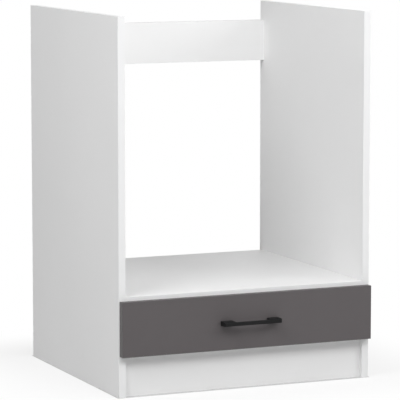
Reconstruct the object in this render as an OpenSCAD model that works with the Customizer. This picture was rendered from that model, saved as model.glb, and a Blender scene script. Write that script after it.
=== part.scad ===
// Base cabinet for a built-in oven, with one drawer under the oven niche.
// Lengths are in millimetres. X is the width, Y runs from the front to the back
// and Z is up. The origin lies on the floor, in the middle of the outline that
// the cabinet covers together with its handle.

/* [Carcass] */
// Outside width of the cabinet
cabinet_w = 600; // [450:1:900]
// Height of the side panels, without a worktop
cabinet_h = 820; // [720:1:960]
// Depth of the side panels
side_d = 545; // [480:1:620]
// Thickness of the carcass boards
board_t = 16; // [15:0.5:19]
// Thickness of the edge bands
band_t = 0.8; // [0.4:0.1:2]
// Clear height of the drawer bay, from the base panel to the oven shelf
bay_h = 97; // [88:1:200]
// Distance from the back edges of the sides to the back edge of the oven shelf
shelf_inset = 13; // [6:1:18]

/* [Back rail] */
// Height of the back rail
rail_h = 96; // [84:1:150]
// Distance from the top of the sides down to the rail
rail_drop = 45; // [0:1:150]
// Distance from the back edges of the sides to the back of the rail
rail_inset = 3; // [0:0.5:60]

/* [Plinth] */
// Height of the plinth board
plinth_h = 90; // [75:1:98]
// Distance from the front edges of the sides back to the plinth
plinth_setback = 10; // [0:1:60]

/* [Hardboard back] */
// Thickness of the hardboard sheets
sheet_t = 3; // [2.5:0.5:5]
// Play of the back sheet between the sides, at each end
back_play = 0.5; // [0:0.1:2]
// Distance from the top of the oven shelf down to the back sheet
back_reveal = 1; // [0:0.5:6]
// Diameter of the nails' shank
nail_d = 1.6; // [1.2:0.1:2]
// Length of the nails
nail_l = 20; // [15:1:25]
// Diameter of the nails' head
nail_head_d = 3.6; // [2.8:0.1:4.5]
// Thickness of the nails' head
nail_head_t = 0.8; // [0.5:0.1:1.2]
// Distance from the ends of an edge to its outer nails
nail_from_end = 40; // [15:1:80]
// Nails along each long edge of the back sheet
nails_per_edge = 5; // [2:1:8]
// Nails along the back edge of the drawer bottom
bottom_nails = 3; // [2:1:6]

/* [Drawer] */
// Thickness of the drawer front
front_t = 16; // [15:0.5:22]
// Distance from the outside of the cabinet in to the end of the drawer front
front_side_gap = 2; // [0:0.5:6]
// Gap behind the closed drawer front
front_rest_gap = 0.5; // [0.2:0.1:3]
// Strip of the oven shelf's edge that stays visible above the drawer front
shelf_reveal = 9; // [2:0.5:14]
// Thickness of the drawer sides and the drawer back
drawer_board_t = 12; // [11:0.5:16]
// Gap between the drawer box and the hardboard back sheet
drawer_back_gap = 32.5; // [10:0.5:60]
// Clearance between the drawer sides and the oven shelf
drawer_top_gap = 14; // [6:1:22]
// Height of the drawer bottom above the lower edge of the drawer sides
bottom_up = 10; // [8.5:0.5:13]
// Depth of the grooves that hold the drawer bottom
groove_depth = 6; // [3:0.5:7]
// Play of the drawer bottom in its grooves
groove_play = 0.2; // [0.1:0.1:0.6]

/* [Runners] */
// Gap between each drawer side and the side panel beside it
runner_gap = 12.5; // [11.5:0.1:16]
// How far the side panel's runner reaches behind the drawer box
runner_past_box = 2.5; // [0:0.5:8]
// Distance from the front edge of the side back to the runner
runner_setback = 2; // [1:0.5:10]
// Clearance between the base panel and the runner
runner_lift = 3; // [0.5:0.5:8]
// Thickness of the runners' sheet steel
steel_t = 1.2; // [1:0.1:1.4]
// Height of the drawer side's lower edge above the lower edge of the runner
seat_up = 5; // [3.5:0.5:7]
// How far the drawer runner reaches under the drawer side
shelf_lip = 10; // [6:0.5:11]
// Width of the runner's upper flange
upper_flange = 3.8; // [2:0.2:3.8]
// Gap between the upper flanges of two runners that pass each other
flange_gap = 0.6; // [0.3:0.1:1.5]
// Depth of the drawer box that stays in the cabinet when the drawer is pulled out
kept_in = 130; // [80:1:250]
// Height of the stops that hold the drawer's rollers at both ends of their way
stop_h = 7; // [4:0.5:10]

/* [Rollers] */
// Diameter of the nylon rollers
roller_d = 22; // [18:0.5:23]
// Thickness of the rollers' rim
rim_t = 2.4; // [1.5:0.1:3]
// Diameter of the rollers' hub
hub_d = 8; // [7:0.1:10]
// Depth of the recess between rim and hub, on each face of a roller
roller_recess = 1.3; // [0.5:0.1:2]
// Clearance between a roller and what it runs on or what holds it
roller_play = 0.3; // [0.2:0.05:0.4]
// Clearance between a roller and the web of the runner that carries it
web_play = 0.6; // [0.3:0.1:0.8]
// Clearance between the head of a roller pin and the runner that passes it
head_play = 0.4; // [0.2:0.1:0.8]
// Distance from the end of a runner to the middle of its roller
roller_from_end = 14; // [12:0.5:18]
// Diameter of the roller pins
pin_d = 4; // [3:0.1:5]
// Radial clearance of a roller on its pin
pin_play = 0.05; // [0.02:0.01:0.1]
// Diameter of the roller pins' head
pin_head_d = 7; // [6:0.1:9]
// Thickness of the roller pins' head
pin_head_t = 0.8; // [0.5:0.1:0.8]

/* [Screws] */
// Diameter of the countersunk screws
screw_d = 3.5; // [3:0.1:4]
// Diameter of the countersunk screw heads
screw_head_d = 6.6; // [6:0.1:7.4]
// Length of the screws that hold a runner on its side panel
runner_screw_l = 13; // [10:0.5:14]
// Length of the screws that hold a runner on its drawer side
drawer_screw_l = 10; // [8:0.5:11]
// Length of the screws that join the drawer sides and the drawer back
corner_screw_l = 35; // [25:1:45]
// Distance from the upper and lower edge of the drawer back to its screws
corner_screw_from_edge = 14; // [10:1:20]
// Distance from the front end of a runner to its first screw
first_screw = 37; // [34:1:60]
// Distance from the back end of a runner to its last screw
last_screw = 47; // [34:1:80]

/* [Cam fittings] */
// Diameter of the cam discs in the carcass boards
cam_d = 15; // [12:0.5:20]
// Depth of the cam discs in the carcass boards
cam_h = 12.5; // [12.5:0.1:13.5]
// Distance from a board's end to the middle of its cam discs
cam_from_end = 34; // [24:1:40]
// Diameter of the cam discs in the drawer sides
small_cam_d = 12; // [10:0.5:15]
// Depth of the cam discs in the drawer sides
small_cam_h = 9.5; // [9.3:0.1:10]
// Distance from the front end of a drawer side to the middle of its cam disc
small_cam_from_end = 24; // [18:1:34]
// Diameter of the cam bolts' thread
bolt_thread_d = 5; // [4:0.1:6]
// Length of the cam bolts' thread
bolt_thread_l = 11; // [8:0.5:12]
// Diameter of the cam bolts' shank
bolt_shank_d = 4; // [3:0.1:5]
// Diameter of the cam bolts' head
bolt_head_d = 6; // [5.4:0.1:6.2]
// Length of the cam bolts' head
bolt_head_l = 4; // [2:0.5:5]
// Clearance of a cam bolt's head in the channel of its cam disc
cam_play = 0.3; // [0.1:0.1:0.5]
// Clearance of a cam bolt's head in the bore that it enters through
bore_play = 0.5; // [0.2:0.1:0.8]
// Height of the drawer's cams above the middle of the drawer sides
drawer_cam_up = 6; // [0:1:10]
// Distance from a board's front or back edge to its outer cam bolts
fitting_from_edge = 56; // [40:1:120]
// Distance from a cam bolt to the dowel beside it
dowel_step = 32; // [16:1:34]
// Distance from a drawer side's cam bolt to the dowels above and below it
drawer_dowel_step = 20; // [14:1:22]
// Diameter of the dowels
dowel_d = 8; // [6:0.5:10]
// Length of the dowels
dowel_l = 30; // [24:1:40]
// Depth of the dowels in the face that they are driven into
dowel_in = 10; // [8:0.5:11]
// Play at the end of a blind hole
end_play = 0.5; // [0.2:0.1:0.8]
// Radial clearance of bolts, dowels, cams and screws in their holes
hole_play = 0.05; // [0.02:0.01:0.1]

/* [Handle] */
// Distance between the handle's two screws
handle_hole_step = 128; // [96:1:192]
// Distance from each screw to the end of the handle
handle_end = 4.5; // [3.5:0.5:20]
// How far the handle stands out from the drawer front
handle_out = 25; // [18:0.5:40]
// Height of the handle's bar
bar_h = 8; // [6:0.5:9]
// Thickness of the handle's bar
bar_t = 6; // [4:0.5:8]
// Height of the handle's feet
foot_h = 10; // [9:0.5:16]
// Length of each foot of the handle
foot_l = 26.5; // [24:0.5:40]
// Rounding of the handle's outer corners
handle_corner_r = 4; // [1:0.5:4]
// Rounding where the bar meets a foot
handle_inner_r = 5; // [1:0.5:8]
// Diameter of the handle screws
handle_screw_d = 4; // [3:0.5:5]
// How far the handle screws reach into the handle
handle_screw_in = 10; // [6:0.5:12]
// Diameter of the handle screws' head
pan_head_d = 8; // [6:0.1:9]
// Height of the handle screws' head
pan_head_h = 2.6; // [2:0.1:3.5]
// Clearance of the handle screws in the drawer front
through_play = 0.5; // [0.2:0.1:1]

/* [Hidden] */
$fn = 48;

// Cuts run this far past the faces that they open
past = 1;

// Overall depth, and the planes that the carcass is built from
total_d = handle_out + front_t + front_rest_gap + side_d;
y_front = handle_out + front_t + front_rest_gap - total_d / 2;
y_back = y_front + side_d;
inner_x = cabinet_w / 2 - board_t;

// Heights of the boards
base_mid = plinth_h + board_t / 2;
base_top = plinth_h + board_t;
shelf_under = base_top + bay_h;
shelf_mid = shelf_under + board_t / 2;
shelf_top = shelf_under + board_t;
shelf_y1 = y_back - shelf_inset;
rail_z1 = cabinet_h - rail_drop;
rail_z0 = rail_z1 - rail_h;
rail_y1 = y_back - rail_inset;
rail_y0 = rail_y1 - board_t;
plinth_y0 = y_front + plinth_setback;
plinth_y1 = plinth_y0 + board_t;

// The drawer front
front_x = cabinet_w / 2 - front_side_gap;
front_y1 = y_front - front_rest_gap;
front_y0 = front_y1 - front_t;
front_z0 = plinth_h;
front_z1 = shelf_top - shelf_reveal;
handle_z = (front_z0 + front_z1) / 2;

// The drawer box, seen from above
box_x = inner_x - runner_gap;
box_inner_x = box_x - drawer_board_t;
box_y1 = shelf_y1 - drawer_back_gap;
travel = box_y1 - front_y1 - kept_in;

// The runners: the side panel's profile is tall enough for a roller between its flanges
runner_z = base_top + runner_lift;
runner_h = roller_d + 2 * roller_play + 2 * steel_t;
runner_y0 = y_front + runner_setback;
runner_y1 = box_y1 + runner_past_box;
drawer_runner_y0 = front_y1 + runner_setback;
roller_z = runner_z + runner_h / 2;

// Heights in the drawer box
side_z0 = runner_z + seat_up;
side_z1 = shelf_under - drawer_top_gap;
sheet_z0 = side_z0 + bottom_up;
sheet_z1 = sheet_z0 + sheet_t;
drawer_cam_z = (side_z0 + side_z1) / 2 + drawer_cam_up;

// Roller places along the depth, and the distance of the parts from the side panel
front_roller_y = runner_y0 + roller_from_end;
back_roller_y = box_y1 - roller_from_end;
roller_w = runner_gap - 2 * steel_t - web_play - roller_play - pin_head_t - head_play;
front_roller_x = steel_t + web_play;
back_roller_x = runner_gap - steel_t - web_play - roller_w;
front_head_x = front_roller_x + roller_w + roller_play;
back_head_x = back_roller_x - roller_play - pin_head_t;
flange_in = runner_gap - steel_t - roller_play;
track_from_side = steel_t + upper_flange + flange_gap;

// Distance from a roller's middle to a stop: the stop's upper edge meets the roller's round
stop_below_middle = runner_h / 2 - stop_h;
stop_from_roller = sqrt(pow(roller_d / 2, 2) - pow(stop_below_middle, 2)) + roller_play;

// Screws
screw_head_h = (screw_head_d - screw_d) / 2;
drawer_screw_z = side_z0 + (bottom_up - screw_d) / 2;

// Handle
handle_l = handle_hole_step + 2 * handle_end;
handle_screw_l = front_t + handle_screw_in;

// Colours
white_board = "#f2f2f2";
raw_hardboard = "#b08a5e";
anthracite = "#625e5f";
drawer_white = "#ececec";
zinc = "#a9acb0";
beech = "#d8b483";
white_steel = "#e4e4e2";
nylon = "#fafaf5";
black_metal = "#242424";

// A box between two opposite corners
module block(low, high) {
    translate(low)
        cube(high - low);
}

// What belongs to one side of the cabinet: -1 is the left side, 1 the right side.
// Inside, the shape is written for the right side.
module on_side(side) {
    mirror([side < 0 ? 1 : 0, 0, 0])
        children();
}

// Places of fittings, each as [side, distance along Y, height]
sides = [-1, 1];

// Cam bolts near a level board's front and back edge
function level_bolts(z, y0, y1) = [
    for (side = sides, y = [y0 + fitting_from_edge, y1 - fitting_from_edge]) [side, y, z]
];
// Dowels beside those bolts, towards the middle of the board
function level_dowels(z, y0, y1) = [
    for (side = sides, y = [y0 + fitting_from_edge + dowel_step, y1 - fitting_from_edge - dowel_step])
        [side, y, z]
];

shelf_bolt_places = level_bolts(shelf_mid, y_front, shelf_y1);
shelf_dowel_places = level_dowels(shelf_mid, y_front, shelf_y1);
base_bolt_places = level_bolts(base_mid, y_front, shelf_y1);
base_dowel_places = level_dowels(base_mid, y_front, shelf_y1);

rail_mid_y = (rail_y0 + rail_y1) / 2;
rail_mid_z = (rail_z0 + rail_z1) / 2;
rail_bolt_places = [for (side = sides) [side, rail_mid_y, rail_mid_z]];
rail_dowel_places = [
    for (side = sides, step = [-dowel_step, dowel_step]) [side, rail_mid_y, rail_mid_z + step]
];

plinth_mid_y = (plinth_y0 + plinth_y1) / 2;
plinth_mid_z = plinth_h / 2;
plinth_bolt_places = [for (side = sides) [side, plinth_mid_y, plinth_mid_z + dowel_step / 2]];
plinth_dowel_places = [for (side = sides) [side, plinth_mid_y, plinth_mid_z - dowel_step / 2]];

all_bolt_places = concat(shelf_bolt_places, base_bolt_places, rail_bolt_places, plinth_bolt_places);
all_dowel_places = concat(shelf_dowel_places, base_dowel_places, rail_dowel_places, plinth_dowel_places);

// Moves a fitting to a joint between a side panel and a board's end. In the fitting's
// own frame the joint is the plane X = 0, +X runs into the board, and the cam's open
// face looks along +Z. The cam then opens downwards, or to the back.
module at_joint(place, opens_back = false) {
    on_side(-place[0])
        translate([-inner_x, place[1], place[2]])
            rotate([opens_back ? -90 : 180, 0, 0])
                children();
}

// Moves a fitting to the joint between the drawer front and a drawer side
module at_drawer_joint(side, z) {
    on_side(side)
        translate([box_x - drawer_board_t / 2, front_y1, z])
            rotate([90, 0, 90])
                children();
}

// A cylinder along +X from x0 to x1
module rod(d, x0, x1) {
    translate([x0, 0, 0])
        rotate([0, 90, 0])
            cylinder(d = d, h = x1 - x0);
}

// Steel bolt: its thread sits in the side panel, its head in the middle of the cam disc
module cam_bolt(from_end) {
    rod(bolt_thread_d, -bolt_thread_l, 0);
    rod(bolt_shank_d, -bolt_thread_l / 2, from_end);
    rod(bolt_head_d, from_end - bolt_head_l / 2, from_end + bolt_head_l / 2);
}

// Hole for a cam bolt's thread, in the face that it is screwed into
module bolt_thread_hole() {
    rod(bolt_thread_d + 2 * hole_play, -bolt_thread_l - end_play, past);
}

// Bore for a cam bolt's shank and the pocket for its cam disc, in the end of a board
module cam_cut(from_end, d, h, t) {
    rod(bolt_head_d + 2 * bore_play, -past, from_end);
    translate([from_end, 0, t / 2 - h])
        cylinder(d = d, h = h + past);
}

// Zinc cam disc with a channel for the bolt's head and a cross slot in its open face
module cam_disc(from_end, d, h, t) {
    slot_w = 2;
    slot_depth = 1.4;
    translate([from_end, 0, 0])
        difference() {
            translate([0, 0, t / 2 - h + hole_play])
                cylinder(d = d - 2 * hole_play, h = h - hole_play);
            rod(bolt_head_d + 2 * cam_play, -d, bolt_head_l / 2 + end_play);
            for (turn = [0, 90])
                rotate([0, 0, turn])
                    block([-d / 3, -slot_w / 2, t / 2 - slot_depth],
                          [d / 3, slot_w / 2, t / 2 + past]);
        }
}

// Beech dowel with chamfered ends
module dowel() {
    chamfer = 1;
    x0 = -dowel_in;
    x1 = dowel_l - dowel_in;
    rod(dowel_d, x0 + chamfer, x1 - chamfer);
    for (end = [[x0, 90], [x1, -90]])
        translate([end[0], 0, 0])
            rotate([0, end[1], 0])
                cylinder(d1 = dowel_d - 2 * chamfer, d2 = dowel_d, h = chamfer);
}

// Hole for a dowel, on both sides of the joint
module dowel_hole() {
    rod(dowel_d + 2 * hole_play, -dowel_in - end_play, dowel_l - dowel_in + end_play);
}

// Countersunk screw whose head is flush with the plane Z = 0 and whose tip points down
module countersunk_screw(length) {
    recess_w = 0.9;
    recess_depth = 1;
    difference() {
        union() {
            translate([0, 0, -screw_head_h])
                cylinder(d1 = screw_d, d2 = screw_head_d, h = screw_head_h);
            translate([0, 0, -length + screw_d])
                cylinder(d = screw_d, h = length - screw_d - screw_head_h / 2);
            translate([0, 0, -length])
                cylinder(d1 = screw_d / 4, d2 = screw_d, h = screw_d);
        }
        for (turn = [0, 90])
            rotate([0, 0, turn])
                block([-screw_d / 2, -recess_w / 2, -recess_depth],
                      [screw_d / 2, recess_w / 2, past]);
    }
}

// Hole for that screw, with its countersink
module countersunk_hole(length) {
    d = screw_d + 2 * hole_play;
    head_d = screw_head_d + 2 * hole_play;
    translate([0, 0, -length - end_play])
        cylinder(d = d, h = length + end_play);
    translate([0, 0, -(head_d - d) / 2])
        cylinder(d1 = d, d2 = head_d, h = (head_d - d) / 2);
    cylinder(d = head_d, h = past);
}

// Nail that points down from the plane Z = 0, with its flat head on that plane
module nail() {
    translate([0, 0, -nail_l])
        cylinder(d = nail_d, h = nail_l + nail_head_t / 2);
    cylinder(d = nail_head_d, h = nail_head_t);
}

module nail_hole() {
    translate([0, 0, -nail_l - end_play])
        cylinder(d = nail_d + 2 * hole_play, h = nail_l + end_play + past);
}

// Places of n nails along X between -half and half
function nail_row(n, half) = [
    for (i = [0 : n - 1]) -half + nail_from_end + i * (2 * half - 2 * nail_from_end) / (n - 1)
];

// The back sheet's nails go into the back edges of the oven shelf and the base panel
module at_back_nails() {
    for (x = nail_row(nails_per_edge, inner_x), z = [shelf_mid, base_mid])
        translate([x, shelf_y1 + sheet_t, z])
            rotate([-90, 0, 0])
                children();
}

// The drawer bottom's nails go up into the lower edge of the drawer back
module at_bottom_nails() {
    for (x = nail_row(bottom_nails, box_inner_x))
        translate([x, box_y1 - drawer_board_t / 2, sheet_z0])
            rotate([180, 0, 0])
                children();
}

// Side panels

// Screws along a runner, from its front end to its back end
function runner_screw_ys(y0, y1) = [y0 + first_screw, (y0 + y1) / 2, y1 - last_screw];

module at_cabinet_screws(side) {
    for (y = runner_screw_ys(runner_y0, runner_y1))
        on_side(side)
            translate([inner_x - steel_t, y, roller_z])
                rotate([0, -90, 0])
                    children();
}

module side_panel(side) {
    color(white_board)
        difference() {
            on_side(side)
                block([inner_x, y_front + band_t, 0], [cabinet_w / 2, y_back, cabinet_h - band_t]);
            for (place = all_bolt_places)
                if (place[0] == side)
                    at_joint(place)
                        bolt_thread_hole();
            for (place = all_dowel_places)
                if (place[0] == side)
                    at_joint(place)
                        dowel_hole();
            at_cabinet_screws(side)
                countersunk_hole(runner_screw_l);
        }
}

module side_front_edge(side) {
    color(white_board)
        on_side(side)
            block([inner_x, y_front, 0], [cabinet_w / 2, y_front + band_t, cabinet_h]);
}

module side_top_edge(side) {
    color(white_board)
        on_side(side)
            block([inner_x, y_front + band_t, cabinet_h - band_t], [cabinet_w / 2, y_back, cabinet_h]);
}

// Level boards: the oven shelf and the base panel under the drawer

module level_board(z0, bolt_places, dowel_places) {
    color(white_board)
        difference() {
            block([-inner_x, y_front + band_t, z0], [inner_x, shelf_y1, z0 + board_t]);
            for (place = bolt_places)
                at_joint(place)
                    cam_cut(cam_from_end, cam_d, cam_h, board_t);
            for (place = dowel_places)
                at_joint(place)
                    dowel_hole();
            at_back_nails()
                nail_hole();
        }
}

module level_front_edge(z0) {
    color(white_board)
        block([-inner_x, y_front, z0], [inner_x, y_front + band_t, z0 + board_t]);
}

module oven_shelf() {
    level_board(shelf_under, shelf_bolt_places, shelf_dowel_places);
}

module shelf_front_edge() {
    level_front_edge(shelf_under);
}

module base_panel() {
    level_board(plinth_h, base_bolt_places, base_dowel_places);
}

module base_front_edge() {
    level_front_edge(plinth_h);
}

// Upright boards between the sides: the plinth and the back rail

module upright_board(y0, z0, z1, bolt_places, dowel_places) {
    color(white_board)
        difference() {
            block([-inner_x, y0, z0], [inner_x, y0 + board_t, z1]);
            for (place = bolt_places)
                at_joint(place, true)
                    cam_cut(cam_from_end, cam_d, cam_h, board_t);
            for (place = dowel_places)
                at_joint(place, true)
                    dowel_hole();
        }
}

module plinth_board() {
    upright_board(plinth_y0, 0, plinth_h, plinth_bolt_places, plinth_dowel_places);
}

module back_rail() {
    upright_board(rail_y0, rail_z0 + band_t, rail_z1 - band_t, rail_bolt_places, rail_dowel_places);
}

module rail_edge(z0) {
    color(white_board)
        block([-inner_x, rail_y0, z0], [inner_x, rail_y1, z0 + band_t]);
}

// Hardboard sheet behind the drawer

module back_panel() {
    color(raw_hardboard)
        difference() {
            block([-inner_x + back_play, shelf_y1, plinth_h],
                  [inner_x - back_play, shelf_y1 + sheet_t, shelf_top - back_reveal]);
            at_back_nails()
                nail_hole();
        }
}

module back_panel_nails() {
    color(zinc)
        at_back_nails()
            nail();
}

// Carcass fittings

module carcass_cam_bolts(places) {
    color(zinc)
        for (place = places)
            at_joint(place)
                cam_bolt(cam_from_end);
}

module carcass_cam_discs(places, opens_back = false) {
    color(zinc)
        for (place = places)
            at_joint(place, opens_back)
                cam_disc(cam_from_end, cam_d, cam_h, board_t);
}

module carcass_dowels(places) {
    color(beech)
        for (place = places)
            at_joint(place)
                dowel();
}

// Runners. Their cross-section is drawn with X as the distance from the side panel
// and Y as the height above the runner's lower edge.

module along_runner(side, y0, y1) {
    on_side(side)
        translate([inner_x, y1, runner_z])
            rotate([90, 0, 0])
                linear_extrude(height = y1 - y0)
                    mirror([1, 0])
                        children();
}

// A pin through a runner's web, with its riveted head beyond the roller
module roller_pin(x0, x1, head_x) {
    rod(pin_d, x0, x1);
    rod(pin_head_d, head_x, head_x + pin_head_t);
}

// Places of the rollers: local X is the distance from the side panel
module at_roller(side, y) {
    on_side(side)
        translate([inner_x, y, roller_z])
            mirror([1, 0, 0])
                children();
}

module cabinet_runner(side) {
    stop_ys = [back_roller_y - travel - stop_from_roller - steel_t, back_roller_y + stop_from_roller];
    color(white_steel)
        difference() {
            union() {
                along_runner(side, runner_y0, runner_y1) {
                    square([steel_t, runner_h]);
                    square([flange_in, steel_t]);
                }
                along_runner(side, front_roller_y + roller_d / 2 + roller_play, runner_y1)
                    translate([0, runner_h - steel_t])
                        square([steel_t + upper_flange, steel_t]);
                for (y = stop_ys)
                    along_runner(side, y, y + steel_t)
                        square([back_roller_x + roller_w / 2, stop_h]);
            }
            at_roller(side, front_roller_y)
                rod(pin_d + 2 * hole_play, -past, steel_t + past);
            at_cabinet_screws(side)
                countersunk_hole(runner_screw_l);
        }
}

module cabinet_runner_screws() {
    color(zinc)
        for (side = sides)
            at_cabinet_screws(side)
                countersunk_screw(runner_screw_l);
}

module cabinet_roller_pins() {
    color(zinc)
        for (side = sides)
            at_roller(side, front_roller_y)
                roller_pin(0, front_head_x + pin_head_t / 2, front_head_x);
}

// Nylon roller with a rim, a hub and a recess between them on both faces
module roller() {
    color(nylon)
        difference() {
            rod(roller_d, 0, roller_w);
            rod(pin_d + 2 * pin_play, -past, roller_w + past);
            for (x0 = [-past, roller_w - roller_recess])
                difference() {
                    rod(roller_d - 2 * rim_t, x0, x0 + roller_recess + past);
                    rod(hub_d, x0 - past, x0 + roller_recess + 2 * past);
                }
        }
}

module cabinet_roller(side) {
    at_roller(side, front_roller_y)
        translate([front_roller_x, 0, 0])
            roller();
}

// The drawer's runner: its web lies on the drawer side, its lower flange carries
// the drawer side, and its upper flange runs on the side panel's roller.

module at_drawer_runner_screws(side) {
    for (y = runner_screw_ys(drawer_runner_y0, box_y1))
        on_side(side)
            translate([box_x + steel_t, y, drawer_screw_z])
                rotate([0, 90, 0])
                    children();
}

module drawer_runner(side) {
    web_x = runner_gap - steel_t;
    low = seat_up - steel_t;
    color(white_steel)
        difference() {
            along_runner(side, drawer_runner_y0, box_y1) {
                translate([web_x, low])
                    square([steel_t, runner_h - low]);
                translate([web_x, low])
                    square([steel_t + shelf_lip, steel_t]);
                translate([track_from_side, runner_h - steel_t])
                    square([web_x + steel_t - track_from_side, steel_t]);
            }
            at_roller(side, back_roller_y)
                rod(pin_d + 2 * hole_play, web_x - past, runner_gap + past);
            at_drawer_runner_screws(side)
                countersunk_hole(drawer_screw_l);
        }
}

module drawer_runner_screws() {
    color(zinc)
        for (side = sides)
            at_drawer_runner_screws(side)
                countersunk_screw(drawer_screw_l);
}

module drawer_roller_pins() {
    color(zinc)
        for (side = sides)
            at_roller(side, back_roller_y)
                roller_pin(back_head_x + pin_head_t / 2, runner_gap, back_head_x);
}

module drawer_roller(side) {
    at_roller(side, back_roller_y)
        translate([back_roller_x, 0, 0])
            roller();
}

// Drawer box

module at_corner_screws(side) {
    for (z = [sheet_z1 + corner_screw_from_edge, side_z1 - corner_screw_from_edge])
        on_side(side)
            translate([box_x, box_y1 - drawer_board_t / 2, z])
                rotate([0, 90, 0])
                    children();
}

module drawer_side(side) {
    color(drawer_white)
        difference() {
            on_side(side)
                block([box_inner_x, front_y1, side_z0], [box_x, box_y1, side_z1]);
            on_side(side)
                block([box_inner_x - past, front_y1 - past, sheet_z0],
                      [box_inner_x + groove_depth, box_y1 + past, sheet_z1 + groove_play]);
            at_drawer_joint(side, drawer_cam_z)
                cam_cut(small_cam_from_end, small_cam_d, small_cam_h, drawer_board_t);
            for (step = [-drawer_dowel_step, drawer_dowel_step])
                at_drawer_joint(side, drawer_cam_z + step)
                    dowel_hole();
            at_drawer_runner_screws(side)
                countersunk_hole(drawer_screw_l);
            at_corner_screws(side)
                countersunk_hole(corner_screw_l);
        }
}

module drawer_back() {
    color(drawer_white)
        difference() {
            block([-box_inner_x, box_y1 - drawer_board_t, sheet_z1], [box_inner_x, box_y1, side_z1]);
            for (side = sides)
                at_corner_screws(side)
                    countersunk_hole(corner_screw_l);
            at_bottom_nails()
                nail_hole();
        }
}

module drawer_back_screws() {
    color(zinc)
        for (side = sides)
            at_corner_screws(side)
                countersunk_screw(corner_screw_l);
}

module drawer_bottom() {
    reach = groove_depth - groove_play;
    color(drawer_white)
        difference() {
            block([-box_inner_x - reach, front_y1 - reach, sheet_z0],
                  [box_inner_x + reach, box_y1, sheet_z1]);
            at_bottom_nails()
                nail_hole();
        }
}

module drawer_bottom_nails() {
    color(zinc)
        at_bottom_nails()
            nail();
}

module drawer_cam_bolts() {
    color(zinc)
        for (side = sides)
            at_drawer_joint(side, drawer_cam_z)
                cam_bolt(small_cam_from_end);
}

module drawer_cam_discs() {
    color(zinc)
        for (side = sides)
            at_drawer_joint(side, drawer_cam_z)
                cam_disc(small_cam_from_end, small_cam_d, small_cam_h, drawer_board_t);
}

module drawer_dowels() {
    color(beech)
        for (side = sides, step = [-drawer_dowel_step, drawer_dowel_step])
            at_drawer_joint(side, drawer_cam_z + step)
                dowel();
}

// Drawer front and its edge bands

module at_handle_screws() {
    for (side = sides)
        translate([side * handle_hole_step / 2, front_y1, handle_z])
            rotate([-90, 0, 0])
                children();
}

module drawer_front() {
    color(anthracite)
        difference() {
            block([-front_x + band_t, front_y0, front_z0 + band_t],
                  [front_x - band_t, front_y1, front_z1 - band_t]);
            block([-box_x, front_y1 - groove_depth, sheet_z0],
                  [box_x, front_y1 + past, sheet_z1 + groove_play]);
            for (side = sides) {
                at_drawer_joint(side, drawer_cam_z)
                    bolt_thread_hole();
                for (step = [-drawer_dowel_step, drawer_dowel_step])
                    at_drawer_joint(side, drawer_cam_z + step)
                        dowel_hole();
            }
            at_handle_screws()
                translate([0, 0, -front_t - past])
                    cylinder(d = handle_screw_d + 2 * through_play, h = front_t + 2 * past);
        }
}

module front_edge_level(z0) {
    color(anthracite)
        block([-front_x, front_y0, z0], [front_x, front_y1, z0 + band_t]);
}

module front_edge_upright(side) {
    color(anthracite)
        on_side(side)
            block([front_x - band_t, front_y0, front_z0 + band_t],
                  [front_x, front_y1, front_z1 - band_t]);
}

// Handle: a flat bar on two taller feet, seen from above in its outline

module corner_waste(r) {
    difference() {
        square(r);
        translate([r, r])
            circle(r);
    }
}

// Right half of the outline. X is measured from the middle, Y from the drawer front outwards.
module foot_outline() {
    difference() {
        translate([handle_l / 2 - foot_l, 0])
            square([foot_l, handle_out]);
        translate([handle_l / 2, handle_out])
            mirror([1, 0])
                mirror([0, 1])
                    corner_waste(handle_corner_r);
    }
}

module bar_outline() {
    difference() {
        union() {
            translate([0, handle_out - bar_t])
                square([handle_l / 2, bar_t]);
            translate([handle_l / 2 - foot_l, handle_out - bar_t])
                mirror([1, 0])
                    mirror([0, 1])
                        corner_waste(handle_inner_r);
        }
        translate([handle_l / 2, handle_out])
            mirror([1, 0])
                mirror([0, 1])
                    corner_waste(handle_corner_r);
    }
}

// Cuts the front of a foot away where only the bar's height is left
module foot_behind_bar() {
    difference() {
        foot_outline();
        translate([0, handle_out - bar_t])
            square([handle_l, bar_t + past]);
    }
}

module handle() {
    color(black_metal)
        difference() {
            for (side = sides)
                on_side(side)
                    translate([0, front_y0, handle_z])
                        mirror([0, 1, 0]) {
                            translate([0, 0, -bar_h / 2])
                                linear_extrude(height = bar_h)
                                    bar_outline();
                            translate([0, 0, -foot_h / 2])
                                linear_extrude(height = foot_h)
                                    foot_behind_bar();
                        }
            at_handle_screws()
                translate([0, 0, -handle_screw_l - end_play])
                    cylinder(d = handle_screw_d + 2 * hole_play, h = handle_screw_l);
        }
}

module handle_screws() {
    slot_w = 1.2;
    color(zinc)
        at_handle_screws()
            difference() {
                union() {
                    translate([0, 0, -handle_screw_l])
                        cylinder(d = handle_screw_d, h = handle_screw_l + pan_head_h / 2);
                    cylinder(d = pan_head_d, h = pan_head_h);
                }
                for (turn = [0, 90])
                    rotate([0, 0, turn])
                        block([-pan_head_d / 4, -slot_w / 2, pan_head_h / 2],
                              [pan_head_d / 4, slot_w / 2, pan_head_h + past]);
            }
}

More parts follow.
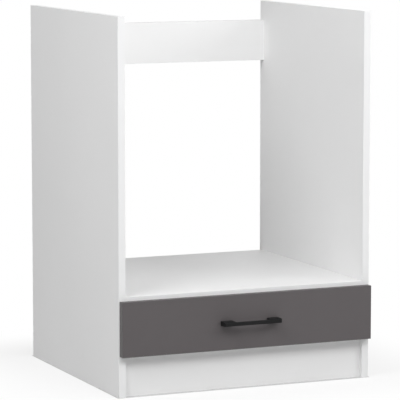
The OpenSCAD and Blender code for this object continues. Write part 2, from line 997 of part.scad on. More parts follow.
side_panel(-1);  // side_panel_left
side_panel(1);  // side_panel_right
side_front_edge(-1);  // side_front_edge_left
side_front_edge(1);  // side_front_edge_right
side_top_edge(-1);  // side_top_edge_left
side_top_edge(1);  // side_top_edge_right
oven_shelf();
shelf_front_edge();
base_panel();
base_front_edge();
plinth_board();
back_rail();
rail_edge(rail_z1 - band_t);  // rail_top_edge
rail_edge(rail_z0);  // rail_lower_edge
back_panel();
back_panel_nails();
carcass_cam_bolts(shelf_bolt_places);  // shelf_cam_bolts
carcass_cam_discs(shelf_bolt_places);  // shelf_cam_discs
carcass_dowels(shelf_dowel_places);  // shelf_dowels
carcass_cam_bolts(base_bolt_places);  // base_cam_bolts
carcass_cam_discs(base_bolt_places);  // base_cam_discs
carcass_dowels(base_dowel_places);  // base_dowels
carcass_cam_bolts(rail_bolt_places);  // rail_cam_bolts
carcass_cam_discs(rail_bolt_places, true);  // rail_cam_discs
carcass_dowels(rail_dowel_places);  // rail_dowels
carcass_cam_bolts(plinth_bolt_places);  // plinth_cam_bolts
carcass_cam_discs(plinth_bolt_places, true);  // plinth_cam_discs
carcass_dowels(plinth_dowel_places);  // plinth_dowels
cabinet_runner(-1);  // cabinet_runner_left
cabinet_runner(1);  // cabinet_runner_right
cabinet_runner_screws();
cabinet_roller_pins();
cabinet_roller(-1);  // cabinet_roller_left
cabinet_roller(1);  // cabinet_roller_right
drawer_front();
front_edge_level(front_z1 - band_t);  // front_edge_top
front_edge_level(front_z0);  // front_edge_bottom
front_edge_upright(-1);  // front_edge_left
front_edge_upright(1);  // front_edge_right
drawer_side(-1);  // drawer_side_left
drawer_side(1);  // drawer_side_right
drawer_back();
drawer_bottom();
drawer_bottom_nails();
drawer_cam_bolts();
drawer_cam_discs();
drawer_dowels();
drawer_back_screws();
drawer_runner(-1);  // drawer_runner_left
drawer_runner(1);  // drawer_runner_right
drawer_runner_screws();
drawer_roller_pins();
drawer_roller(-1);  // drawer_roller_left
drawer_roller(1);  // drawer_roller_right
handle();
handle_screws();
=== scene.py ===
import math
import bmesh
import bpy
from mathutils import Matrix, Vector


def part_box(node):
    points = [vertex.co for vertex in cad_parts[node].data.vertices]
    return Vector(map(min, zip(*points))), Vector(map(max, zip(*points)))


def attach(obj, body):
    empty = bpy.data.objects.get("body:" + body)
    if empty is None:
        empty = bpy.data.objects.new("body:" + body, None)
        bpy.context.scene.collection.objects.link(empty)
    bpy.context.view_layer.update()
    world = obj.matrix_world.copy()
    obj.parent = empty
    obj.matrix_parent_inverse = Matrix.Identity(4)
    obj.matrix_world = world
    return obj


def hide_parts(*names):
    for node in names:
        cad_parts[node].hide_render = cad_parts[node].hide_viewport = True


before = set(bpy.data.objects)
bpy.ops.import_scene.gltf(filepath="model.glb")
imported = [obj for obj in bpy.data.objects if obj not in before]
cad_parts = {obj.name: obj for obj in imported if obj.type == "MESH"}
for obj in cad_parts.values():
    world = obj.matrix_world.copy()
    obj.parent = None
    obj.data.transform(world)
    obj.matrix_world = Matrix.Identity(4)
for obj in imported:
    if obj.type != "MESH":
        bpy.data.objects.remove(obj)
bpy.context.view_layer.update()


# Side panels: 16 mm chipboard with white melamine paper pressed on both faces, sawn to
# size. They stand on the floor, and their back and lower edges stay bare, so that the
# glued chips show there.

def shader_of(finish):
    return finish.node_tree.nodes["Principled BSDF"]


def new_finish(name, values):
    """A node material; the values are those of its main shader that are the same all over."""
    finish = bpy.data.materials.new(name)
    finish.use_nodes = True
    for socket, value in values.items():
        shader_of(finish).inputs[socket].default_value = value
    return finish


def add_node(finish, kind, values=None, **settings):
    """The values are set on the node's sockets, and the settings on the node itself."""
    made = finish.node_tree.nodes.new("ShaderNode" + kind)
    for name, setting in settings.items():
        setattr(made, name, setting)
    for socket, value in (values or {}).items():
        made.inputs[socket].default_value = value
    return made


def wire(finish, source, target):
    finish.node_tree.links.new(source, target)


def dress(finish, colour, roughness, normal):
    """Leads what varies over the surface to the main shader."""
    wire(finish, colour, shader_of(finish).inputs["Base Color"])
    wire(finish, roughness, shader_of(finish).inputs["Roughness"])
    wire(finish, normal, shader_of(finish).inputs["Normal"])


def grains(finish, size, kind="TexNoise", **values):
    """Noise or cells in the piece's own frame. Size is that of one grain in metres along
    X, Y and Z, or one number where it is the same in all directions."""
    sizes = size if isinstance(size, tuple) else (size,) * 3
    place = add_node(finish, "TexCoord")
    scaled = add_node(finish, "Mapping", {"Scale": [1 / length for length in sizes]})
    texture = add_node(finish, kind, {"Scale": 1, **values})
    wire(finish, place.outputs["Object"], scaled.inputs["Vector"])
    wire(finish, scaled.outputs["Vector"], texture.inputs["Vector"])
    return texture


def grain_size(axis, along, across):
    """A grain's size. Along is its length in the named axis, and across in the other two."""
    return tuple(along if letter == axis else across for letter in "XYZ")


def stirred(finish, texture, amount):
    """Shifts a texture's grains unevenly, by up to about that share of a grain."""
    vector = texture.inputs["Vector"]
    place = vector.links[0].from_socket
    swirl = add_node(finish, "TexNoise", {"Scale": 1.5, "Detail": 2})
    swirl_middle = (0.5, 0.5, 0.5)
    shift = add_node(finish, "VectorMath", {1: swirl_middle}, operation="SUBTRACT")
    sized = add_node(finish, "VectorMath", {"Scale": 2 * amount}, operation="SCALE")
    moved = add_node(finish, "VectorMath", operation="ADD")
    wire(finish, place, swirl.inputs["Vector"])
    wire(finish, swirl.outputs["Color"], shift.inputs[0])
    wire(finish, shift.outputs["Vector"], sized.inputs[0])
    wire(finish, place, moved.inputs[0])
    wire(finish, sized.outputs["Vector"], moved.inputs[1])
    wire(finish, moved.outputs["Vector"], vector)
    return texture


def toned(finish, factor, tones):
    """A colour ramp; tones are pairs of a place along it and a colour."""
    ramp = add_node(finish, "ValToRGB")
    marks = ramp.color_ramp.elements
    while len(marks) < len(tones):
        marks.new(0.5)
    for mark, (at, colour) in zip(marks, tones):
        mark.position = at
        mark.color = (*colour, 1)
    wire(finish, factor, ramp.inputs["Fac"])
    return ramp.outputs["Color"]


def clouded(finish, clouds, darkest, lightest):
    """Soft clouds of two tones that are hardly apart."""
    return toned(finish, clouds.outputs["Fac"], [(0.35, darkest), (0.65, lightest)])


def spread(finish, factor, low, high):
    """Stretches a texture's middle range, 0.3 to 0.7, to another one, such as of roughness."""
    stretched = add_node(
        finish, "MapRange", {"From Min": 0.3, "From Max": 0.7, "To Min": low, "To Max": high}
    )
    wire(finish, factor, stretched.inputs["Value"])
    return stretched.outputs["Result"]


def relief(finish, height, depth):
    """A bump that is depth metres deep."""
    bump = add_node(finish, "Bump", {"Strength": 1, "Distance": depth})
    wire(finish, height, bump.inputs["Height"])
    return bump.outputs["Normal"]


def blend(finish, kind, factor, first, second):
    """The first where the factor is 0, the second where it is 1. Kind is RGBA for colours,
    FLOAT for values and VECTOR for reliefs."""
    mix = add_node(finish, "Mix", data_type=kind)
    wire(finish, factor, mix.inputs["Factor"])
    wire(finish, first, mix.inputs["A"])
    wire(finish, second, mix.inputs["B"])
    return mix.outputs["Result"]


def math_node(finish, operation, *values):
    """Each value is a number or another node's output."""
    made = add_node(finish, "Math", operation=operation)
    for socket, value in zip(made.inputs, values):
        if isinstance(value, (int, float)):
            socket.default_value = value
        else:
            wire(finish, value, socket)
    return made.outputs["Value"]


def xyz_of(finish, coordinate):
    """The X, Y and Z of one of the piece's coordinates. Generated goes from 0 to 1 over the
    piece, and Normal is the way that the face looks."""
    place = add_node(finish, "TexCoord")
    parts = add_node(finish, "SeparateXYZ")
    wire(finish, place.outputs[coordinate], parts.inputs["Vector"])
    return parts.outputs


# A face looks along an axis where more than this share of its normal does
facing_share = 0.6


def under_paper(finish, through, wraps_top):
    """1 on a board's two large faces and in the thin papers that end on its edges, 0 on the
    bare chips. Through is the axis through the board; a wrapped top edge has paper too."""
    paper_share = 0.02
    top_share = 0.005
    normal = xyz_of(finish, "Normal")
    depth = xyz_of(finish, "Generated")
    facing = math_node(finish, "ABSOLUTE", normal[through])
    on_face = math_node(finish, "GREATER_THAN", facing, facing_share)
    from_middle = math_node(finish, "SUBTRACT", depth[through], 0.5)
    off_middle = math_node(finish, "ABSOLUTE", from_middle)
    in_paper = math_node(finish, "GREATER_THAN", off_middle, 0.5 - paper_share)
    covered = math_node(finish, "MAXIMUM", on_face, in_paper)
    if wraps_top:
        on_top = math_node(finish, "GREATER_THAN", depth["Z"], 1 - top_share)
        covered = math_node(finish, "MAXIMUM", covered, on_top)
    return covered


def faced_board(name, through, darkest, lightest, shine, pearl_depth, wraps_top=False):
    """Chipboard between two pressed papers. Through is the axis through the board, and shine
    is the least and the most roughness of the papers, which have a faint pearl."""
    finish = new_finish(name, {"Specular IOR Level": 0.4})

    paper = clouded(finish, grains(finish, 0.35, Detail=2), darkest, lightest)
    pearl = grains(finish, 0.0011, Detail=2, Roughness=0.6)
    paper_relief = relief(finish, pearl.outputs["Fac"], pearl_depth)
    paper_shine = spread(finish, grains(finish, 0.02).outputs["Fac"], *shine)

    flake = grain_size(through, along=0.0009, across=0.0042)
    splinter = grain_size(through, along=0.0002, across=0.0014)
    flakes = stirred(finish, grains(finish, flake, "TexVoronoi", Randomness=1), amount=0.3)
    splinters = grains(finish, splinter, Detail=4, Roughness=0.7)
    # Each flake has a random colour, whose red gives its tone and whose green its roughness
    tint = add_node(finish, "SeparateColor")
    wire(finish, flakes.outputs["Color"], tint.inputs["Color"])
    flake_tones = [
        (0.0, (0.22, 0.125, 0.06)), (0.15, (0.42, 0.28, 0.15)),
        (0.7, (0.60, 0.44, 0.27)), (1.0, (0.76, 0.60, 0.41)),
    ]
    splinter_tones = [
        (0.36, (0.14, 0.075, 0.035)), (0.46, (0.50, 0.36, 0.21)), (0.62, (0.74, 0.58, 0.40)),
    ]
    flake_tone = toned(finish, tint.outputs["Red"], flake_tones)
    splinter_tone = toned(finish, splinters.outputs["Fac"], splinter_tones)
    mingled = spread(finish, splinters.outputs["Fac"], 0.5, 0.3)
    bare = blend(finish, "RGBA", mingled, flake_tone, splinter_tone)
    bare_relief = relief(finish, splinters.outputs["Fac"], depth=0.0002)
    bare_shine = spread(finish, tint.outputs["Green"], 0.8, 0.95)

    papered = under_paper(finish, through, wraps_top)
    dress(
        finish,
        colour=blend(finish, "RGBA", papered, bare, paper),
        roughness=blend(finish, "FLOAT", papered, bare_shine, paper_shine),
        normal=blend(finish, "VECTOR", papered, bare_relief, paper_relief),
    )
    return finish


def coat(finish, *names):
    """Gives the named pieces of the construction their finish."""
    for name in names:
        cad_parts[name].material_slots[0].material = finish


white_paper = {
    "darkest": (0.851, 0.852, 0.852),
    "lightest": (0.870, 0.870, 0.870),
    "shine": (0.50, 0.60),
    "pearl_depth": 0.00002,
}
coat(
    faced_board("white_melamine_upright", "X", **white_paper),
    "side_panel_left", "side_panel_right",
)


# Edge bands of the side panels: white plastic strips, 0.8 mm thick, glued on the front and
# top edges, trimmed flush with the paper and scraped to a small round at their corners.

def extruded_band(name, darkest, lightest, shine):
    """Smooth plastic strip with the faint lines of its extrusion."""
    finish = new_finish(name, {"Specular IOR Level": 0.45})
    clouds = grains(finish, 0.12, Detail=1)
    lines = grains(finish, grain_size("Z", along=0.25, across=0.0012), Detail=2)
    dress(
        finish,
        colour=toned(finish, clouds.outputs["Fac"], [(0.3, darkest), (0.7, lightest)]),
        roughness=spread(finish, lines.outputs["Fac"], *shine),
        normal=relief(finish, lines.outputs["Fac"], depth=0.00001),
    )
    return finish


same_place = 1e-6
flat_angle = math.radians(0.5)
sharp_angle = math.radians(40)


def ease_edges(radius, *names):
    """Rounds the sharp edges of the named pieces with modifiers, which leave their meshes
    as they are."""
    for name in names:
        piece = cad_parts[name]
        welded = piece.modifiers.new("welded", "WELD")
        welded.merge_threshold = same_place
        plain = piece.modifiers.new("plain", "DECIMATE")
        plain.decimate_type = "DISSOLVE"
        plain.angle_limit = flat_angle
        eased = piece.modifiers.new("eased", "BEVEL")
        eased.width = radius
        eased.segments = 2
        eased.limit_method = "ANGLE"
        eased.angle_limit = sharp_angle
        eased.use_clamp_overlap = False


white_band = extruded_band(
    "white_edge_band",
    darkest=(0.862, 0.865, 0.868), lightest=(0.876, 0.878, 0.880), shine=(0.28, 0.36),
)
side_bands = [
    "side_front_edge_left", "side_front_edge_right", "side_top_edge_left", "side_top_edge_right"
]
coat(white_band, *side_bands)
ease_edges(0.0003, *side_bands)


# Oven shelf and base panel: level boards of the same white faced chipboard, with a white
# band on the front edge. The oven stands on the shelf; the drawer runs between the two.

coat(faced_board("white_melamine_level", "Z", **white_paper), "oven_shelf", "base_panel")
coat(white_band, "shelf_front_edge", "base_front_edge")
ease_edges(0.0002, "shelf_front_edge", "base_front_edge")


# Plinth board and back rail: narrow upright boards between the sides. The plinth closes
# the foot of the cabinet, and the rail, banded above and below, holds the sides apart.

coat(faced_board("white_melamine_across", "Y", **white_paper), "plinth_board", "back_rail")
coat(white_band, "rail_top_edge", "rail_lower_edge")
ease_edges(0.0002, "rail_top_edge", "rail_lower_edge")


# Cam fittings: die-cast zinc cams let into the boards, and plated steel bolts screwed into
# the faces that the boards meet. A turn of the cam draws the bolt's head and the joint in.

def fittings_metal(name, darkest, lightest, shine, speck):
    """Metal with fine specks of that size, slightly uneven in tone and gloss."""
    finish = new_finish(name, {"Metallic": 1})
    specks = grains(finish, speck, Detail=3)
    stains = grains(finish, 0.006, Detail=2)
    dress(
        finish,
        colour=clouded(finish, stains, darkest, lightest),
        roughness=spread(finish, specks.outputs["Fac"], *shine),
        normal=relief(finish, specks.outputs["Fac"], depth=0.00002),
    )
    return finish


cast_zinc = fittings_metal(
    "cast_zinc",
    darkest=(0.42, 0.43, 0.44), lightest=(0.56, 0.57, 0.58), shine=(0.36, 0.5), speck=0.0007,
)
plated_steel = fittings_metal(
    "plated_steel",
    darkest=(0.55, 0.56, 0.57), lightest=(0.68, 0.69, 0.70), shine=(0.2, 0.34), speck=0.0004,
)
side_joints = ["shelf", "base", "rail", "plinth"]
board_joints = [*side_joints, "drawer"]
coat(cast_zinc, *[joint + "_cam_discs" for joint in board_joints])
coat(plated_steel, *[joint + "_cam_bolts" for joint in board_joints])
ease_edges(0.0002, *[joint + "_cam_bolts" for joint in board_joints])


# Dowels: turned beech pins with chamfered ends, glued into one board and pushed dry into
# the other. They keep the joints in line beside the cams.

def beech(name, fibre_axis):
    """Beech with its fibres drawn out along one axis and short dark flecks in it."""
    finish = new_finish(name, {"Specular IOR Level": 0.3})
    fibres = grains(finish, grain_size(fibre_axis, along=0.03, across=0.0009), Detail=4)
    flecks = grains(finish, grain_size(fibre_axis, along=0.004, across=0.0006), Detail=1)
    wood_tones = [(0.3, (0.46, 0.29, 0.15)), (0.7, (0.66, 0.47, 0.28))]
    dark_tones = [(0.0, (0.36, 0.21, 0.10)), (1.0, (0.42, 0.26, 0.13))]
    wood = toned(finish, fibres.outputs["Fac"], wood_tones)
    dark = toned(finish, fibres.outputs["Fac"], dark_tones)
    fleck_height = 0.66
    in_fleck = math_node(finish, "GREATER_THAN", flecks.outputs["Fac"], fleck_height)
    dress(
        finish,
        colour=blend(finish, "RGBA", in_fleck, wood, dark),
        roughness=spread(finish, fibres.outputs["Fac"], 0.6, 0.75),
        normal=relief(finish, fibres.outputs["Fac"], depth=0.00006),
    )
    return finish


coat(beech("beech_across", "X"), *[joint + "_dowels" for joint in side_joints])
coat(beech("beech_lengthwise", "Y"), "drawer_dowels")
ease_edges(0.0002, *[joint + "_dowels" for joint in board_joints])


# Hardboard back: a 3 mm sheet of pressed brown fibre, painted white on the side that shows
# in the cabinet. It is nailed to the back edges of the oven shelf and the base panel.

def hardboard(name):
    """Felted fibre, with paint on the face that looks to the front."""
    finish = new_finish(name, {"Specular IOR Level": 0.3})
    tuft = grain_size("Z", along=0.0025, across=0.006)
    hair = grain_size("Z", along=0.0006, across=0.0018)
    felt = grains(finish, tuft, Detail=5, Roughness=0.65)
    hairs = grains(finish, hair, Detail=2)
    clouds = grains(finish, 0.2, Detail=1)
    fibre_tones = [
        (0.3, (0.20, 0.11, 0.055)), (0.5, (0.27, 0.16, 0.082)), (0.7, (0.34, 0.21, 0.115))
    ]
    fibre = toned(finish, felt.outputs["Fac"], fibre_tones)
    fibre_shine = spread(finish, felt.outputs["Fac"], 0.62, 0.85)
    paint = clouded(finish, clouds, (0.80, 0.80, 0.79), (0.83, 0.83, 0.82))
    paint_shine = spread(finish, clouds.outputs["Fac"], 0.42, 0.5)
    normal = xyz_of(finish, "Normal")
    painted = math_node(finish, "LESS_THAN", normal["Y"], -facing_share)
    dress(
        finish,
        colour=blend(finish, "RGBA", painted, fibre, paint),
        roughness=blend(finish, "FLOAT", painted, fibre_shine, paint_shine),
        normal=relief(finish, hairs.outputs["Fac"], depth=0.00005),
    )
    return finish


coat(hardboard("raw_hardboard"), "back_panel")
bright_wire = fittings_metal(
    "bright_wire",
    darkest=(0.50, 0.50, 0.50), lightest=(0.62, 0.62, 0.61), shine=(0.25, 0.4), speck=0.0005,
)
coat(bright_wire, "back_panel_nails")
ease_edges(0.0002, "back_panel_nails")


# Runners and rollers: folded sheet steel in white baked enamel, one profile screwed on each
# side panel and one along the lower edge of each drawer side. Each has a nylon roller at one
# end, which turns on a riveted pin.

def baked_enamel(name, darkest, lightest):
    """Sprayed and baked coat with the low waves of a powder that has flowed together."""
    finish = new_finish(name, {"Specular IOR Level": 0.5})
    waves = grains(finish, 0.004, Detail=0)
    clouds = grains(finish, 0.08, Detail=1)
    dress(
        finish,
        colour=clouded(finish, clouds, darkest, lightest),
        roughness=spread(finish, waves.outputs["Fac"], 0.32, 0.38),
        normal=relief(finish, waves.outputs["Fac"], depth=0.000008),
    )
    return finish


def moulded_nylon(name, darkest, lightest):
    """Slightly clouded nylon; the light goes a little way into it."""
    finish = new_finish(
        name,
        {"Specular IOR Level": 0.45, "Subsurface Weight": 0.15, "Subsurface Scale": 0.002},
    )
    clouds = grains(finish, 0.004, Detail=2)
    matt = grains(finish, 0.0005, Detail=2)
    dress(
        finish,
        colour=clouded(finish, clouds, darkest, lightest),
        roughness=spread(finish, matt.outputs["Fac"], 0.34, 0.46),
        normal=relief(finish, matt.outputs["Fac"], depth=0.00001),
    )
    return finish


both_hands = ["left", "right"]
coat(
    baked_enamel("white_enamel", darkest=(0.76, 0.76, 0.745), lightest=(0.80, 0.80, 0.79)),
    *["cabinet_runner_" + hand for hand in both_hands],
    *["drawer_runner_" + hand for hand in both_hands],
)
rollers = [owner + "_roller_" + hand for owner in ("cabinet", "drawer") for hand in both_hands]
coat(
    moulded_nylon("moulded_nylon", darkest=(0.80, 0.80, 0.76), lightest=(0.86, 0.86, 0.83)),
    *rollers,
)
ease_edges(0.0003, *rollers)
runner_fixings = [
    "cabinet_runner_screws", "cabinet_roller_pins", "drawer_runner_screws", "drawer_roller_pins"
]
coat(plated_steel, *runner_fixings)
ease_edges(0.0001, *runner_fixings)


# Drawer box: sides and back of 12 mm chipboard in white foil, grooved for a 3 mm white
# sheet that is pushed in from behind and nailed up into the back.

white_foil = {
    "darkest": (0.815, 0.815, 0.805),
    "lightest": (0.840, 0.840, 0.832),
    "shine": (0.45, 0.55),
    "pearl_depth": 0.00001,
}
coat(
    faced_board("white_foil_side", "X", wraps_top=True, **white_foil),
    "drawer_side_left", "drawer_side_right",
)
coat(faced_board("white_foil_back", "Y", wraps_top=True, **white_foil), "drawer_back")
coat(faced_board("white_foil_sheet", "Z", **white_foil), "drawer_bottom")
coat(bright_wire, "drawer_bottom_nails")
coat(plated_steel, "drawer_back_screws")
ease_edges(0.0001, "drawer_bottom_nails", "drawer_back_screws")


# Drawer front: 16 mm chipboard in dark grey matt melamine, with a band of the same colour
# on all four edges. It overlaps the sides and hides the drawer box.

dark_board = faced_board(
    "anthracite_melamine", "Y",
    darkest=(0.0955, 0.086, 0.0885), lightest=(0.1035, 0.094, 0.0965), shine=(0.52, 0.62),
    pearl_depth=0.00003,
)
coat(dark_board, "drawer_front")
dark_band = extruded_band(
    "anthracite_edge_band",
    darkest=(0.077, 0.070, 0.072), lightest=(0.084, 0.077, 0.079), shine=(0.45, 0.55),
)
front_bands = ["front_edge_top", "front_edge_bottom", "front_edge_left", "front_edge_right"]
coat(dark_band, *front_bands)
ease_edges(0.0002, *front_bands)


# Handle: one black casting, a flat bow on two taller feet, powder-coated and held by two
# machine screws that go through the drawer front from behind.

def black_powder_coat(name):
    """Nearly black paint with the fine grain of its powder."""
    finish = new_finish(name, {"Specular IOR Level": 0.15})
    powder = grains(finish, 0.0006, Detail=2)
    clouds = grains(finish, 0.03, Detail=1)
    dress(
        finish,
        colour=clouded(finish, clouds, (0.0085, 0.0085, 0.0088), (0.0115, 0.0115, 0.012)),
        roughness=spread(finish, powder.outputs["Fac"], 0.42, 0.54),
        normal=relief(finish, powder.outputs["Fac"], depth=0.00003),
    )
    return finish


def quarter_round(middle_x, middle_y, radius, steps=6):
    """Points from the front of a round to its right."""
    angles = [math.radians(-90 + 90 * step / steps) for step in range(steps + 1)]
    return [
        (middle_x + radius * math.cos(angle), middle_y + radius * math.sin(angle))
        for angle in angles
    ]


def tap_hole(mesh, wall, centre, radius, depth, steps=24):
    """Sinks a round blind hole into a four-cornered wall that faces along +Y. Two faces
    round the hole, parted at the first and the third corner, take the wall's place."""
    corners = list(wall.verts)
    mesh.faces.remove(wall)
    first_side = corners[1].co - corners[0].co
    next_side = corners[2].co - corners[1].co
    turn = 1 if first_side.x * next_side.z > first_side.z * next_side.x else -1
    rim, end = [], []
    for step in range(steps):
        angle = turn * 2 * math.pi * step / steps
        across, up = radius * math.cos(angle), radius * math.sin(angle)
        rim.append(mesh.verts.new(centre + Vector((across, 0, up))))
        end.append(mesh.verts.new(centre + Vector((across, -depth, up))))
    for step in range(steps):
        mesh.faces.new([rim[step - 1], rim[step], end[step], end[step - 1]])
    mesh.faces.new(end)

    def nearest(corner):
        return min(range(steps), key=lambda step: (rim[step].co - corner.co).length)

    for first, between, last in ((0, 1, 2), (2, 3, 0)):
        start, stop = nearest(corners[last]), nearest(corners[first])
        passed = (start - stop) % steps + 1
        round_the_rim = [rim[(start - step) % steps] for step in range(passed)]
        mesh.faces.new([corners[first], corners[between], corners[last], *round_the_rim])


def bow_handle(name):
    """The handle seen from above is one bow and two feet that share their edges; these are
    raised to their heights, the feet by one millimetre more on both sides."""
    foot_length = 0.0265
    bar_height = 0.008
    bar_depth = 0.006
    end_radius = 0.004
    fillet_radius = 0.005
    edge_radius = 0.00045
    hole_from_end = 0.0045
    hole_radius = 0.00205
    hole_depth = 0.0105
    run_out_width = 0.0007

    low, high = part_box("handle")
    middle_z = (low.z + high.z) / 2
    half_length = high.x
    wall_y, front_y = high.y, low.y
    bar_back_y = front_y + bar_depth
    bar_half_height = bar_height / 2
    foot_inside = half_length - foot_length
    foot_extra = (high.z - low.z) / 2 - bar_half_height

    mesh = bmesh.new()
    corner = {}

    def point(x, y):
        """The corner at that place, which the bow and a foot share where they meet."""
        key = (round(x, 7), round(y, 7))
        if key not in corner:
            corner[key] = mesh.verts.new((x, y, middle_z - bar_half_height))
        return corner[key]

    front_end = quarter_round(half_length - end_radius, front_y + end_radius, end_radius)
    fillet_y = bar_back_y + fillet_radius
    fillet = quarter_round(foot_inside - fillet_radius, fillet_y, fillet_radius)
    right_half = [
        *front_end, (half_length, bar_back_y), (foot_inside, bar_back_y), *reversed(fillet)
    ]
    left_half = [(-x, y) for x, y in reversed(right_half)]
    bow = mesh.faces.new([point(*place) for place in right_half + left_half])

    feet = []
    for side in (1, -1):
        outline = [
            (foot_inside, wall_y), (foot_inside, fillet_y),
            (foot_inside, bar_back_y), (half_length, bar_back_y), (half_length, wall_y),
        ]
        feet.append(mesh.faces.new([point(side * x, y) for x, y in outline]))
    bmesh.ops.recalc_face_normals(mesh, faces=mesh.faces)

    # The bow and both feet rise by the bar's height, and then the feet a little further up
    # and down
    raised = bmesh.ops.extrude_face_region(mesh, geom=[bow, *feet], use_keep_orig=True)
    top = [item for item in raised["geom"] if isinstance(item, bmesh.types.BMVert)]
    bmesh.ops.translate(mesh, verts=top, vec=(0, 0, bar_height))
    top_feet = [
        item for item in raised["geom"]
        if isinstance(item, bmesh.types.BMFace) and item.calc_center_median().y > bar_back_y
    ]
    for faces, rise in ((top_feet, foot_extra), (feet, -foot_extra)):
        lifted = bmesh.ops.extrude_face_region(mesh, geom=faces)
        ends = [item for item in lifted["geom"] if isinstance(item, bmesh.types.BMVert)]
        bmesh.ops.translate(mesh, verts=ends, vec=(0, 0, rise))
        left_inside = [face for face in faces if face.is_valid]
        bmesh.ops.delete(mesh, geom=left_inside, context="FACES")

    # The feet are tapped where they stand on the drawer front
    mesh.normal_update()
    foot_backs = [
        face for face in mesh.faces
        if face.normal.y > facing_share
        and abs(face.calc_center_median().y - wall_y) < same_place
        and abs(face.calc_center_median().z - middle_z) < same_place
    ]
    for wall in foot_backs:
        hole_x = math.copysign(half_length - hole_from_end, wall.calc_center_median().x)
        tap_hole(mesh, wall, Vector((hole_x, wall_y, middle_z)), hole_radius, hole_depth)
    bmesh.ops.recalc_face_normals(mesh, faces=mesh.faces)

    # The edges round over everywhere but where a fillet runs out against its foot
    roundness = mesh.edges.layers.float.new("bevel_weight_edge")
    for edge in mesh.edges:
        middle = (edge.verts[0].co + edge.verts[1].co) / 2
        runs_out = (
            abs(abs(middle.x) - foot_inside) < run_out_width
            and bar_back_y < middle.y < fillet_y
            and abs(middle.z - middle_z) <= bar_half_height + foot_extra / 2
        )
        if edge.calc_face_angle_signed() > sharp_angle and not runs_out:
            edge[roundness] = 1

    data = bpy.data.meshes.new(name)
    mesh.to_mesh(data)
    mesh.free()
    handle = bpy.data.objects.new(name, data)
    bpy.context.scene.collection.objects.link(handle)
    eased = handle.modifiers.new("eased", "BEVEL")
    eased.width = edge_radius
    eased.segments = 3
    eased.limit_method = "WEIGHT"
    eased.use_clamp_overlap = False
    return handle


handle = bow_handle("bow_handle")
handle.data.materials.append(black_powder_coat("black_powder_coat"))
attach(handle, "drawer")
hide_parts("handle")
coat(plated_steel, "handle_screws")
ease_edges(0.0002, "handle_screws")


# Floor: a smooth pale floor that runs on out of sight, so that it is also the backdrop.
# It keeps a soft shadow of the cabinet, and right round its foot a thin rim of darker grey
# that is a painted contact shadow.

def seen_directly(finish):
    """1 for what the camera, a gloss or a clear piece sees, 0 for what lights the cabinet."""
    path = add_node(finish, "LightPath")
    seen = path.outputs["Is Camera Ray"]
    for ray in ("Is Glossy Ray", "Is Transmission Ray"):
        seen = math_node(finish, "MAXIMUM", seen, path.outputs[ray])
    return seen


def blend_shaders(finish, factor, first, second):
    """The first where the factor is 0, the second where it is 1."""
    mix = add_node(finish, "MixShader")
    wire(finish, factor, mix.inputs["Fac"])
    wire(finish, first, mix.inputs[1])
    wire(finish, second, mix.inputs[2])
    return mix.outputs["Shader"]


def dull_paint(finish, darkest, lightest):
    """Dull grey paint with faint clouds."""
    paint = add_node(finish, "BsdfDiffuse")
    clouds = grains(finish, 0.9, Detail=1)
    wire(finish, clouded(finish, clouds, (darkest,) * 3, (lightest,) * 3), paint.inputs["Color"])
    return paint.outputs["BSDF"]


def from_the_foot(finish):
    """The distance in metres from the rectangle that the cabinet covers on the floor."""
    front_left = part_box("side_front_edge_left")[0]
    back_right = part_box("side_panel_right")[1]
    foot_middle = (front_left + back_right) / 2
    foot_half = (back_right - front_left) / 2
    place = add_node(finish, "TexCoord")
    from_middle = add_node(finish, "VectorMath", {1: foot_middle}, operation="SUBTRACT")
    folded = add_node(finish, "VectorMath", operation="ABSOLUTE")
    beyond = add_node(finish, "VectorMath", {1: foot_half}, operation="SUBTRACT")
    outside = add_node(finish, "VectorMath", {1: (0, 0, 0)}, operation="MAXIMUM")
    distance = add_node(finish, "VectorMath", operation="LENGTH")
    wire(finish, place.outputs["Object"], from_middle.inputs[0])
    steps = [from_middle, folded, beyond, outside, distance]
    for first, second in zip(steps, steps[1:]):
        wire(finish, first.outputs["Vector"], second.inputs[0])
    return distance.outputs["Value"]


def rising(finish, distance, start, reach):
    """Goes softly from start, at no distance, to 1 at the reach."""
    rise = add_node(
        finish, "MapRange", {"From Max": reach, "To Min": start}, interpolation_type="SMOOTHSTEP"
    )
    wire(finish, distance, rise.inputs["Value"])
    return rise.outputs["Result"]


def pale_floor(name, shadow_share, shadow_reach, painted_contact_shade_reach):
    """Light grey paint for the light. The camera sees it as white, with a share of the
    shadows that falls to nothing within the shadow's reach of the cabinet's foot. Right
    against the foot, within the reach of the painted contact shade, the camera sees the
    darker grey itself: a painted contact shadow."""
    finish = new_finish(name, {})
    finish.node_tree.nodes.remove(shader_of(finish))
    grey = dull_paint(finish, darkest=0.595, lightest=0.605)
    white = dull_paint(finish, darkest=0.945, lightest=0.955)
    bright = add_node(finish, "Emission", {"Strength": 1}).outputs["Emission"]
    distance = from_the_foot(finish)
    whiteness = rising(finish, distance, 1 - shadow_share, shadow_reach)
    # Right at the cabinet's foot the camera sees the darker grey paint instead of white: a
    # painted contact shadow
    clear_of_painted_contact_shade = rising(finish, distance, 0, painted_contact_shade_reach)
    seen_floor = blend_shaders(finish, whiteness, white, bright)
    seen = blend_shaders(finish, clear_of_painted_contact_shade, grey, seen_floor)
    surface = blend_shaders(finish, seen_directly(finish), grey, seen)
    wire(finish, surface, finish.node_tree.nodes["Material Output"].inputs["Surface"])
    return finish


floor_half = 40
# A hair below the cabinet, so that its lower edges and the floor share no place
floor_z = -0.0001
floor_corners = [
    (x * floor_half, y * floor_half, floor_z) for x, y in ((-1, -1), (1, -1), (1, 1), (-1, 1))
]
floor_mesh = bpy.data.meshes.new("floor")
floor_mesh.from_pydata(floor_corners, [], [(0, 1, 2, 3)])
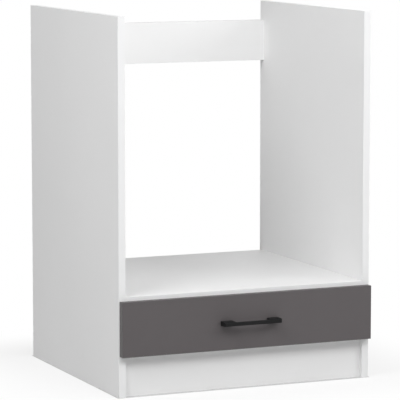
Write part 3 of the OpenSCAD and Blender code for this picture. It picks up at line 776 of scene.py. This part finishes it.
# The contact reach is the width of the painted contact shadow round the cabinet's foot
floor_mesh.materials.append(
    pale_floor("pale_floor", shadow_share=0.3, shadow_reach=0.3, painted_contact_shade_reach=0.006)
)
floor = bpy.data.objects.new("floor", floor_mesh)
bpy.context.scene.collection.objects.link(floor)


# Studio light: an even dim surround, which the camera sees as white, and wide soft lamps in
# front, at the left, high at the left and behind at the right.

surround = bpy.data.worlds.new("studio")
bpy.context.scene.world = surround
surround.use_nodes = True
room = surround.node_tree.nodes["Background"]
room.inputs["Color"].default_value = (1, 1, 1, 1)
room.inputs["Strength"].default_value = 0.24
backdrop = add_node(surround, "Background", {"Color": (1, 1, 1, 1), "Strength": 1})
around = blend_shaders(
    surround, seen_directly(surround), room.outputs["Background"], backdrop.outputs["Background"]
)
wire(surround, around, surround.node_tree.nodes["World Output"].inputs["Surface"])


def soft_lamp(name, place, watts, width, height):
    """A large lit panel that faces the cabinet."""
    aim = Vector((0, 0, 0.5))
    lamp = bpy.data.lights.new(name, "AREA")
    lamp.shape = "RECTANGLE"
    lamp.size = width
    lamp.size_y = height
    lamp.energy = watts
    holder = bpy.data.objects.new(name, lamp)
    holder.location = place
    holder.rotation_mode = "QUATERNION"
    holder.rotation_quaternion = (aim - holder.location).to_track_quat("-Z", "Y")
    bpy.context.scene.collection.objects.link(holder)


soft_lamp("lamp_front", (0, -2.2, 2.0), watts=24, width=2.0, height=1.0)
soft_lamp("lamp_front_left", (-2.4, -2.4, 1.5), watts=9, width=2.5, height=2.5)
soft_lamp("lamp_front_right", (1.8, -1.8, 1.7), watts=20, width=1.2, height=1.2)
soft_lamp("lamp_left", (-3.2, 0, 1.4), watts=5.5, width=2.5, height=2.5)
soft_lamp("lamp_high_left", (-2.0, -1.2, 2.6), watts=40, width=1.5, height=1.5)
soft_lamp("lamp_behind_right", (2.4, 2.4, 1.6), watts=8, width=2.0, height=2.0)


# Camera: it stands well back at the left, a little higher than the cabinet, and looks
# slightly down at it with a long lens.

tilt_down = 7.110
turn_right = 23.441
camera_data = bpy.data.cameras.new("camera")
camera_data.sensor_width = 36
camera_data.lens = 229.2
camera_data.clip_end = 200
camera = bpy.data.objects.new("camera", camera_data)
camera.location = (-2.281, -5.25775, 1.101)
camera.rotation_euler = (math.radians(90 - tilt_down), 0, math.radians(-turn_right))
bpy.context.scene.collection.objects.link(camera)
bpy.context.scene.camera = camera
bpy.context.scene.view_settings.view_transform = "Standard"
